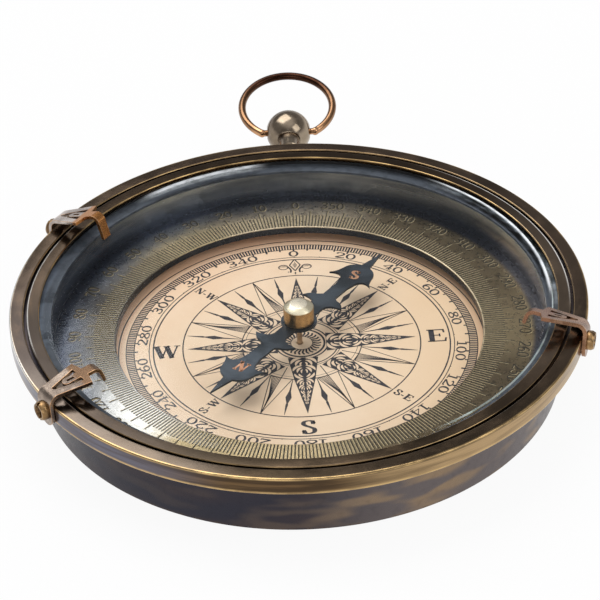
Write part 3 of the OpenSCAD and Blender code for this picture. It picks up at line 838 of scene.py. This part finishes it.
def make_retaining_ring():
    """The inner ring, which holds the glass down by its edge."""
    ring = turned("retaining_ring", [
        (SEAT_R, retainer_under), (retainer_r, retainer_under), (retainer_r, retainer_top),
        (RETAINER_BORE, retainer_top), (RETAINER_BORE, land_z), (SEAT_R, land_z),
        (SEAT_R, retainer_under)])
    # Patina with painted light and shade on it.
    patina = turned_brass(
        "retaining_ring_patina",
        lines=[(RETAINER_BORE, retainer_top, 0.28), (retainer_r, retainer_top, 0.2)],
        # Painted white glints on the outer edge to the west and the north-east.
        glints=[(172, 0.88, 0.97, retainer_r, retainer_top, 0.45, 0.0),
                (25, 0.8, 0.97, retainer_r, retainer_top, 0.5, 0.7)],
        # Painted shade at the back, the front left and the front, and painted light on the east
        # side.
        shades=[(90, 0.2, 0.9, 0.75, (0.03, 0.015, 0.003)),
                (215, 0.6, 0.95, 0.65, (0.03, 0.026, 0.024)),
                (280, 0.6, 0.95, 0.4, (0.03, 0.02, 0.004)),
                (0, 0.75, 0.97, 0.5, (0.24, 0.185, 0.135))])
    finished(ring, "case", "retainer_brass", patina, replaces=["glass_retaining_ring"],
             edge=0.3)


def make_glass():
    """The pane has one finish on its flat faces and another on the bevel and the edge."""
    pane = turned("window_pane", [
        (0, glass_under), (glass_r, glass_under), (glass_r, land_z),
        (bevel_r, land_z), (bevel_top_r, glass_top), (0, glass_top)])
    finished(pane, "case", "clear_glass", clear_glass(), bevel_glass(),
             replaces=["crystal_glass"])
    middle = (bevel_top_r + 0.1) * MM
    for face in pane.data.polygons:
        face.material_index = 1 if face.center.xy.length > middle else 0


def make_inside():
    """The wall between the glass and the degree ring, and that ring, which overhangs the dial."""
    liner = turned("inner_wall", [
        (LINER_BORE, liner_under), (liner_r, liner_under), (liner_r, liner_top),
        (LINER_BORE, liner_top), (LINER_BORE, liner_under)])
    finished(liner, "case", "sleeve_brass", liner_brass(), replaces=["spacer_sleeve"])
    ring = turned("degree_ring", [
        (RING_FOOT, dial_z), (ring_r, dial_z), (ring_r, ring_top), (RING_BORE, ring_top),
        (RING_BORE, lip_under), (RING_FOOT, lip_under), (RING_FOOT, dial_z)])
    finished(ring, "case", "ring_brass", ring_brass(), replaces=["chapter_ring"], edge=0.25)


def engrave_ring():
    """Degree strokes and numbers cut in the ring, dark, each with a painted highlight along one
    edge.
    The degrees count anticlockwise."""
    cut = printing_ink("engraved_dark", (0.035, 0.03, 0.02), (0.08, 0.066, 0.04), 0.7)
    # A painted highlight, where light would catch one edge of each cut.
    edge = printing_ink("engraved_bright", (0.42, 0.35, 0.21), (0.64, 0.54, 0.34), 1.0)
    strokes_r, numbers_r = RING_BORE + 0.35, 0.789 * rim_r
    tens, fives, ones = 6.6, 6.2, 4.6
    strokes, bright = [], []
    for degree in range(360):
        length = tens if degree % 10 == 0 else fives if degree % 5 == 0 else ones
        # Each stroke is dark, with a painted highlight beside it.
        for shapes, across, wide in ((strokes, 0, 0.28), (bright, 0.22, 0.16)):
            stroke = bar(across, strokes_r, across, strokes_r + length, wide)
            shapes.append(turn_points(stroke, 90 + degree))
    numbers, glints = [], []
    for degree in range(0, 360, 10):
        # The punched numbers stray a little, most of all near 265 degrees.
        azimuth = 90 + degree - 0.7 - 2.8 * exp(-((degree - 265) / 60) ** 2)
        for shape in written(str(degree), 2.6, 1.1, 0.18, 0.1):
            shape = turn_points(shape, azimuth, numbers_r)
            numbers.append(shape)
            # A painted highlight beside each number.
            glints.append([(x + 0.1, y - 0.14) for x, y in shape])
    for name, shapes, layer, finish in (
            ("degree_strokes", strokes, 2, cut), ("degree_strokes_painted_highlight", bright, 1, edge),
            ("degree_numbers", numbers, 2, cut), ("degree_numbers_painted_highlight", glints, 1, edge)):
        marks = flat_shapes(name, shapes, ring_top + layer * INK_LIFT)
        finished(marks, "case", "ring_brass", finish)


# Printed dial

def printed(name, shapes, ink, layer=1):
    """Print on the dial, which lies a little off the ring's centre."""
    shapes = [[(x + DIAL_SHIFT[0], y + DIAL_SHIFT[1]) for x, y in shape] for shape in shapes]
    finished(flat_shapes(name, shapes, dial_z + layer * INK_LIFT), "case", "dial_paper", ink)


def print_circles(ink):
    lines = []
    for r, width in ((40.6, 0.27), (STROKES_OUT, 0.2), (STROKES_IN, 0.2), (33.82, 0.2),
                     (32.9, 0.32), (ROSE_R + 0.15, 0.28), (HATCHED_BASE, 0.24), (12.5, 0.1),
                     (8.75, 0.14), (8.15, 0.28), (5.9, 0.34), (5.05, 0.46)):
        lines += circle_line(r, width)
    printed("dial_circles", lines, ink)


def print_degrees(ink):
    """Strokes, with a dot at every ten degrees, and numbers at every twenty. They count
    clockwise."""
    dots_r, numbers_r = 33.9, 35.35
    strokes = []
    for degree in range(360):
        wide, low = 0.38, STROKES_IN
        if degree % 5 == 0:
            low = 36.5
        if degree % 10 == 0:
            wide, low = 0.46, 36.3
            strokes.append(turn_points(dot(0, 0, 0.17), NORTH - degree, dots_r))
        strokes.append(turn_points(bar(0, low, 0, STROKES_OUT, wide), NORTH - degree))
    printed("dial_strokes", strokes, ink)

    numbers = [turn_points(shape, NORTH - degree, numbers_r) for degree in range(0, 360, 20)
               for shape in written(str(degree), 2.15, 1.75, 0.25, 0.11)]
    printed("dial_numbers", numbers, ink)


def print_letters(ink):
    """Three upright letters, and the half winds, which are read from the dial's sides."""
    letters, letters_r, half_winds_r = [], 29.9, 29.4
    for text, degree, widen in (("E", 90, 1.24), ("S", 180, 1.1), ("W", 268.8, 1.14)):
        for shape in written(text, 4.5, widen, 0.23, 0.08):
            letters.append(turn_points(shape, NORTH - degree, letters_r, degree))
    for text, degree, spin in (("N-E", 45, 90), ("S-E", 135, 90), ("S-W", 225, -90),
                               ("N-W", 315, -90)):
        for shape in written(text, 1.95, 1.2, 0.24, 0.11):
            letters.append(turn_points(shape, NORTH - degree, half_winds_r, spin))
    printed("dial_letters", letters, ink)


def leaf(root, bend, tip, fat):
    """One pointed leaf, curved from its root past its bend to its tip."""
    left, right = [], []
    for i in range(8):
        t = i / 7
        x, y = ((1 - t) ** 2 * a + 2 * t * (1 - t) * b + t * t * c
                for a, b, c in zip(root, bend, tip))
        ux, uy = (2 * (1 - t) * (b - a) + 2 * t * (c - b) for a, b, c in zip(root, bend, tip))
        w = fat / 2 * sin(pi * t) ** 0.7 / hypot(ux, uy) if 0 < i < 7 else 0
        left.append((x - uy * w, y + ux * w))
        if w:
            right.append((x + uy * w, y - ux * w))
    return left + right[::-1]


def leafy_point(edge):
    """Light leaves inside a dark point whose (distance, half width) pairs run from its base to
    its tip: tiers of spreading and closing leaves that get smaller outwards."""
    def half(at):
        for (a, wa), (b, wb) in zip(edge, edge[1:]):
            if at <= b:
                return wa + (wb - wa) * (at - a) / (b - a)
        return 0

    spreading = (((0.12, 0.0), (0.85, 0.0), (1.0, 0.75), 0.26),
                 ((0.12, 0.3), (0.6, 0.3), (0.62, 1.0), 0.22),
                 ((0.1, 0.55), (0.32, 0.6), (0.22, 1.1), 0.14))
    closing = (((1.0, 0.05), (0.95, 0.7), (0.14, 0.95), 0.26),
               ((0.55, 0.1), (0.55, 0.5), (0.12, 0.65), 0.2))
    leaves, at, tier = [], edge[0][0] + 0.25, 0
    while half(at + 0.6) > 0.6:
        w = half(at + 0.6) - 0.38
        tall = 0.7 * w + 0.8
        for side in (-1, 1):
            for *places, fat in closing if tier % 3 == 2 else spreading:
                leaves.append(leaf(*((side * w * x, at + tall * y) for x, y in places),
                                   fat * (w + 0.25)))
        at += tall
        tier += 1
    return leaves


def print_leafy_points(ink):
    """The rose's four main points and the four between them, dark with light leaves."""
    card = printing_ink("dial_card_print", (0.80, 0.62, 0.43), (0.74, 0.56, 0.38))
    main = [(5.4, 3.33), (13.1, 2.33), (25.3, 0)]
    between = [(8.8, 3.12), (14.3, 2.16), (ROSE_R, 0)]
    dark, light = [], []
    for k in range(8):
        azimuth = NORTH - 45 * k
        edge = between if k % 2 else main
        outline = [(w, r) for r, w in edge] + [(-w, r) for r, w in reversed(edge[:-1])]
        dark.append(turn_points(outline, azimuth))
        light += [turn_points(shape, azimuth) for shape in leafy_point(edge)]
    printed("leafy_points", dark, ink, 2)
    printed("leafy_points_leaves", light, card, 3)


def print_hatched_points(ink):
    """Eight points between the leafy ones, hatched on one side."""
    hatched, half = [], 2.45
    for k in range(8):
        azimuth = NORTH - 22.5 - 45 * k
        lines = [bar(half, HATCHED_BASE, 0, ROSE_R, 0.2), bar(0, 9.4, 0, ROSE_R, 0.2),
                 bar(-half, HATCHED_BASE, 0, ROSE_R, 0.18),
                 bar(0, HATCHED_BASE, half, HATCHED_BASE, 0.2)]
        lines += [bar(half * i / 7, HATCHED_BASE, 0.03, ROSE_R - 0.8 * i, 0.15)
                  for i in range(1, 7)]
        hatched += [turn_points(line, azimuth) for line in lines]
    printed("hatched_points", hatched, ink)


def print_pointers(ink):
    """Sixteen fine pointers, each with a lozenge on its way out."""
    sides = [(0.06, 13.4), (0.2, 17.6), (0.68, 19.8), (0.17, 21.8), (0.28, 22.3), (0.05, 25.8)]
    outline = sides + [(-x, y) for x, y in reversed(sides)]
    pointers = [turn_points(outline, NORTH - 11.25 - 22.5 * k) for k in range(16)]
    printed("fine_pointers", pointers, ink)


def print_middle(ink):
    """A ring of short curved feathers about the pin."""
    feathers = 26
    feather = smooth_path([(-0.1, 2.5), (0.2, 3.1), (0.32, 3.7), (0.02, 4.3)], steps=4)
    middle = [turn_points(quad, 360 / feathers * k) for k in range(feathers)
              for quad in pen_stroke(feather, 0.42, 0.36)]
    printed("rose_middle", middle + circle_line(2.42, 0.16, 60), ink)


def print_lily(ink):
    """A diamond bud with two rolled petals, which stands at north instead of a letter."""
    diamond = [(0, 2.35), (1.25, 0), (0, -2.35), (-1.25, 0)]
    lily = [bar(*a, *b, 0.3) for a, b in zip(diamond, diamond[1:] + diamond[:1])]
    for i in range(-2, 3):
        tall = 1.35 - abs(i) * 0.5
        lily.append(bar(i * 0.2, -tall, i * 0.2, tall, 0.11))
    for side in (-1, 1):
        middle, low = side * 2.7, -0.75
        oval = [(middle + 1.08 * cos(pi * i / 8), low + 0.92 * sin(pi * i / 8))
                for i in range(16)]
        lily += pen_stroke(smooth_path(oval, True, 2), 0.26, 0.2)
        for i in range(-3, 4):
            rise = 0.85 * (1 - (i / 4) ** 2) ** 0.5
            lily.append(bar(middle + i * 0.26, low, middle + i * 0.26, low + rise, 0.12))
        stalk = smooth_path([(side * 1.75, -0.7), (side * 1.25, -1.3), (side * 1.0, -2.1),
                             (side * 1.1, -3.0)], steps=4)
        lily += pen_stroke(stalk, 0.42, 0.4)
        lily.append(dot(side * 1.6, -2.75, 0.2))
    lily.append([(0, -2.7), (0.2, -3.2), (0, -4.0), (-0.2, -3.2)])
    printed("lily", [turn_points(shape, NORTH, 30.65) for shape in lily], ink)


def print_dial():
    ink = printing_ink("dial_ink", (0.014, 0.012, 0.016), (0.04, 0.033, 0.034))
    for print_part in (print_circles, print_degrees, print_letters, print_leafy_points,
                       print_hatched_points, print_pointers, print_middle, print_lily):
        print_part(ink)


# Needle, knob and pin

def dress_needle():
    """The blade keeps its CAD shape and gets its letters, and the knob is turned."""
    dressed(nodes["needle_blade"], blued_steel())

    gold = copper("letter_copper", (0.42, 0.2, 0.11), (0.62, 0.34, 0.2), (0.8, 0.5, 0.34))
    letters_z = outer("needle_blade")[2] + 0.015
    for name, text, along, spin in (("needle_letter_s", "S", 0.337, 18),
                                    ("needle_letter_n", "N", -0.325, 0)):
        shapes = [turn_points(shape, NEEDLE_AZIMUTH, along * rim_r, spin)
                  for shape in written(text, 3.1, 1.0, 0.25, 0.14)]
        finished(flat_shapes(name, shapes, letters_z), "needle", "needle_steel", gold)

    knob = turned("knob", [
        (KNOB_BORE_R, knob_under), (knob_r, knob_under), (knob_r, knob_bevel),
        (KNOB_TOP_R, knob_top), (0, knob_top)], steps=96)
    finished(knob, "needle", "knob_brass", bright_brass(), replaces=["needle_knob"], edge=0.15)


def dress_hidden():
    """Finishes for the parts that keep their CAD shape: the paper, the seal, and what lies under
    the dial and the knob."""
    dressed(nodes["paper_dial"], dial_paper())
    dressed(nodes["glass_gasket"], glass_seal())
    dressed(nodes["dial_plate"],
            aged_brass("plate_patina", (0.12, 0.09, 0.05), (0.25, 0.18, 0.09), (0.4, 0.3, 0.15)))
    for node, finish, colour, other, rough, metal in (
            ("pivot_boss", "boss_brass", (0.5, 0.36, 0.16), (0.62, 0.46, 0.22), 0.35, 1.0),
            ("pivot_pin", "pin_copper", (0.5, 0.36, 0.24), (0.64, 0.5, 0.36), 0.3, 1.0),
            ("needle_jewel", "garnet", (0.25, 0.02, 0.04), (0.35, 0.04, 0.06), 0.1, 0.0)):
        dressed(nodes[node], plain_finish(finish, colour, other, rough, metal))


# Clips

def make_clips():
    """Each clip has its own colours: dark, middling and bright, and the colour of its finger. They
    are tarnish with painted light: the left back clip is painted pale as a reflection of the
    light.
    """
    plates = (
        ("left_front", (0.2, 0.155, 0.125), (0.42, 0.335, 0.27), (0.66, 0.54, 0.44),
         (0.2, 0.12, 0.07)),
        # Painted pale, as a reflection of the light.
        ("left_back", (0.34, 0.29, 0.26), (0.62, 0.55, 0.5), (0.85, 0.78, 0.72),
         (0.5, 0.22, 0.07)),
        ("right", (0.12, 0.062, 0.036), (0.32, 0.175, 0.1), (0.55, 0.34, 0.22),
         (0.26, 0.13, 0.075)))
    rubbed = copper("clip_edge", (0.42, 0.23, 0.12), (0.66, 0.4, 0.22), (0.9, 0.66, 0.46))
    head = copper("screw_patina", (0.12, 0.07, 0.035), (0.36, 0.22, 0.1), (0.7, 0.48, 0.24))
    head_edge = copper("screw_edge", (0.5, 0.32, 0.14), (0.74, 0.52, 0.26), (0.9, 0.7, 0.4))
    for place, dark, mid, bright, finger in plates:
        tarnish_and_painted_light = copper(f"clip_copper_{place}", dark, mid, bright, (0.2, 0.34), finger)
        clip = from_solid(f"clamp_{place}", f"clip_{place}")
        finished(clip, "case", "clip_copper", tarnish_and_painted_light, rubbed, replaces=[f"clip_{place}"],
                 edge=0.08, segments=2)
        screw = from_solid(f"screw_{place}", f"clip_screw_{place}")
        finished(screw, "case", "screw_brass", head, head_edge,
                 replaces=[f"clip_screw_{place}"], edge=0.1, segments=2)


# Pendant and bow

def make_pendant():
    bronze = aged_brass("pendant_patina", (0.17, 0.132, 0.095), (0.36, 0.29, 0.21),
                        (0.5, 0.42, 0.33), cloud=0.16, rough=(0.15, 0.22), shine=0.3)
    dull = aged_brass("pendant_nut_patina", (0.1, 0.066, 0.035), (0.2, 0.13, 0.07),
                      (0.5, 0.36, 0.2), cloud=0.3)
    for name, node, finish, smooth in (("stem", "pendant_stem", bronze, 30),
                                       ("ball", "pendant_ball", bronze, 40),
                                       ("ball_nut", "pendant_finial", dull, 30)):
        piece = from_solid(name, node, 0.1)
        finished(piece, "case", "pendant_brass", finish, replaces=[node], smooth=smooth)


def bow_copper():
    """The bow's wire: brown with a violet tarnish far out, orange where it nears the ball, which
    is partly tarnish and partly painted highlight.
    """
    f = Finish("bow_copper")
    clouds = f.step(f.noise(0.16, 3, 0.55, warp=0.4), 0.32, 0.68)
    colour = f.blend(clouds, (0.022, 0.009, 0.005), (0.065, 0.028, 0.016))
    # Orange near the ball: tarnish with a painted highlight.
    near = 1 - f.step(f.y, 82, 97)
    colour = f.blend(near * f.step(clouds, 0.0, 1.0, (0.5, 1.0)), colour, (0.56, 0.31, 0.16))
    grain = f.noise(3, 3, 0.6)
    return f.surface(colour, f.step(grain, 0.3, 0.7, (0.16, 0.26)), 1.0,
                     Normal=f.bump(grain, 0.01, 0.2))


def make_bow():
    ring = from_solid("bow_wire", "bow_ring", 0.1)
    finished(ring, "bow", "bow_brass", bow_copper(), replaces=["bow_ring"], smooth=50)


# Studio

def make_floor():
    """A white floor that shows as white to the camera and in metal and glass, and keeps a little
    of the compass's shadow."""
    floor_z = -0.2
    bpy.ops.mesh.primitive_plane_add(size=6, location=(0, 0, floor_z * MM))
    floor = bpy.context.object
    floor.name = "floor"
    f = Finish("white_floor")
    paint = f.glossy(f.blend(f.noise(0.0008, 2), (0.8, 0.8, 0.8), (0.82, 0.82, 0.82)), 0.9)
    glow = f.add("ShaderNodeEmission", None, {"Color": (1, 1, 1), "Strength": 1})
    seen = f.rays("Camera", "Glossy", "Transmission") * 0.93
    dressed(floor, f.shown(f.mixed(seen, paint, glow)))
    settle(floor)


def make_room():
    """The world: white to the camera and through glass, and for light and mirrors a room that is
    bright above and below and grey at its sides."""
    room = Nodes(bpy.data.worlds.new("studio"))
    bpy.context.scene.world = room.owner
    place = room.add("ShaderNodeTexCoord", output="Generated")
    height = room.add("ShaderNodeSeparateXYZ", None, {0: place}, "Z")
    stops = [(at, (level, level, level * 1.03)) for at, level in
             ((0.0, 0.9), (0.12, 0.85), (0.3, 0.28), (0.72, 0.3), (0.95, 0.9))]
    tone = room.add("ShaderNodeValToRGB", {"stops": stops}, {"Fac": height})
    walls, white = (room.add("ShaderNodeBackground", None, {"Color": colour, "Strength": 1})
                    for colour in (tone, (1, 1, 1)))
    seen = room.rays("Camera", "Transmission")
    room.add("ShaderNodeOutputWorld", None, {"Surface": room.mixed(seen, walls, white)})


def light_studio():
    """A window behind and above the compass, and two weaker lamps: places and sizes in m, powers
    in W."""
    target = Vector((0, 0, 0.01))
    for name, place, size, power in (
            ("window", (-0.33, 0.525, 1.045), (0.97, 0.92), 9.3),
            ("fill", (0.6, -0.3, 0.6), (0.5, 0.5), 1.6),
            ("front", (-0.2, -0.9, 0.35), (0.9, 0.25), 1.4)):
        bpy.ops.object.light_add(type="AREA", location=place)
        lamp = bpy.context.object
        lamp.name = name
        lamp.data.shape = "RECTANGLE"
        lamp.data.size, lamp.data.size_y = size
        lamp.data.energy = power
        lamp.rotation_euler = (target - Vector(place)).to_track_quat("-Z", "Y").to_euler()
    bpy.context.scene.view_settings.view_transform = "Standard"


aim_camera()
make_case()
make_rim()
make_retaining_ring()
make_glass()
make_inside()
engrave_ring()
print_dial()
dress_needle()
dress_hidden()
make_clips()
make_pendant()
make_bow()
make_floor()
make_room()
light_studio()
